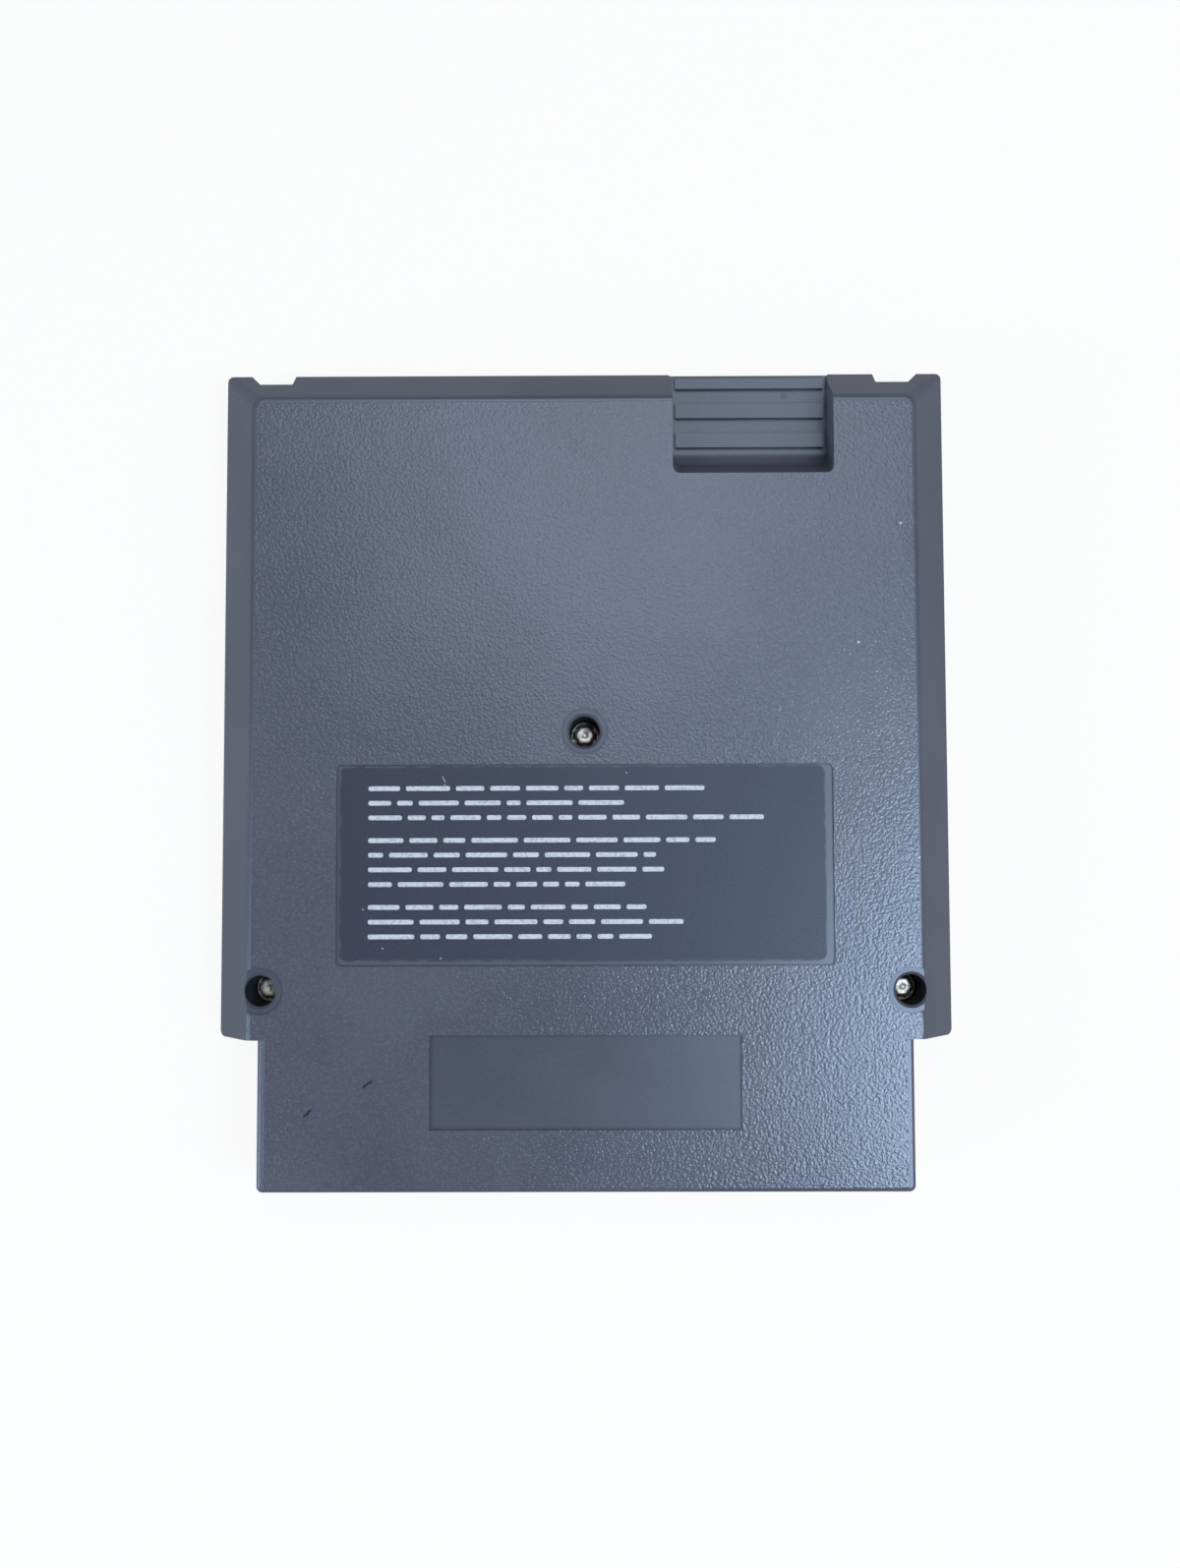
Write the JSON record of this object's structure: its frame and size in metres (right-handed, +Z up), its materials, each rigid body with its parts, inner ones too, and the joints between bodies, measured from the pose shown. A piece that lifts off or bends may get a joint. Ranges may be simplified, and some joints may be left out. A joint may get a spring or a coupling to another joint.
{
  "type": "game cartridge",
  "caption": "Grey plastic game cartridge: screwed rear and front shells with sloped borders, thumb grip and sticker, round a circuit board with an edge connector in the open mouth.",
  "frame": {"origin": "centre of the bounding box on the floor, under the front face that the cartridge lies on", "axes": "+X to the right as the rear face is read, +Y from the mouth to the closed top edge, +Z up out of the rear face"},
  "size_m": [0.12, 0.1342, 0.017],
  "materials": {
    "case_plastic": "moulded, finely grained on the rear face, smooth on borders and recesses",
    "screw_steel": "plain plated",
    "sticker_film": "dark printed film, satin",
    "board_laminate": "green solder mask, satin",
    "contact_metal": "thin gold plate",
    "chip_resin": "moulded, matte",
    "tinned_lead": "tinned",
    "can_metal": "drawn, bright",
    "sleeve_film": "shrunk film, glossy",
    "bung_rubber": "moulded",
    "disc_coating": "dipped, glossy"
  },
  "bodies": {
    "root": {"rear_shell": "case_plastic", "front_shell": "case_plastic", "case_screws": "screw_steel", "rear_sticker": "sticker_film", "circuit_board": "board_laminate", "contacts_rear": "contact_metal", "contacts_front": "contact_metal", "program_chip": "chip_resin", "program_chip_leads": "tinned_lead", "picture_chip": "chip_resin", "picture_chip_leads": "tinned_lead", "lock_chip": "chip_resin", "lock_chip_leads": "tinned_lead", "supply_can": "can_metal", "supply_sleeve": "sleeve_film", "supply_bung": "bung_rubber", "supply_wires": "tinned_lead", "disc_capacitors": "disc_coating", "disc_capacitor_wires": "tinned_lead"}
  },
  "joints": []
}
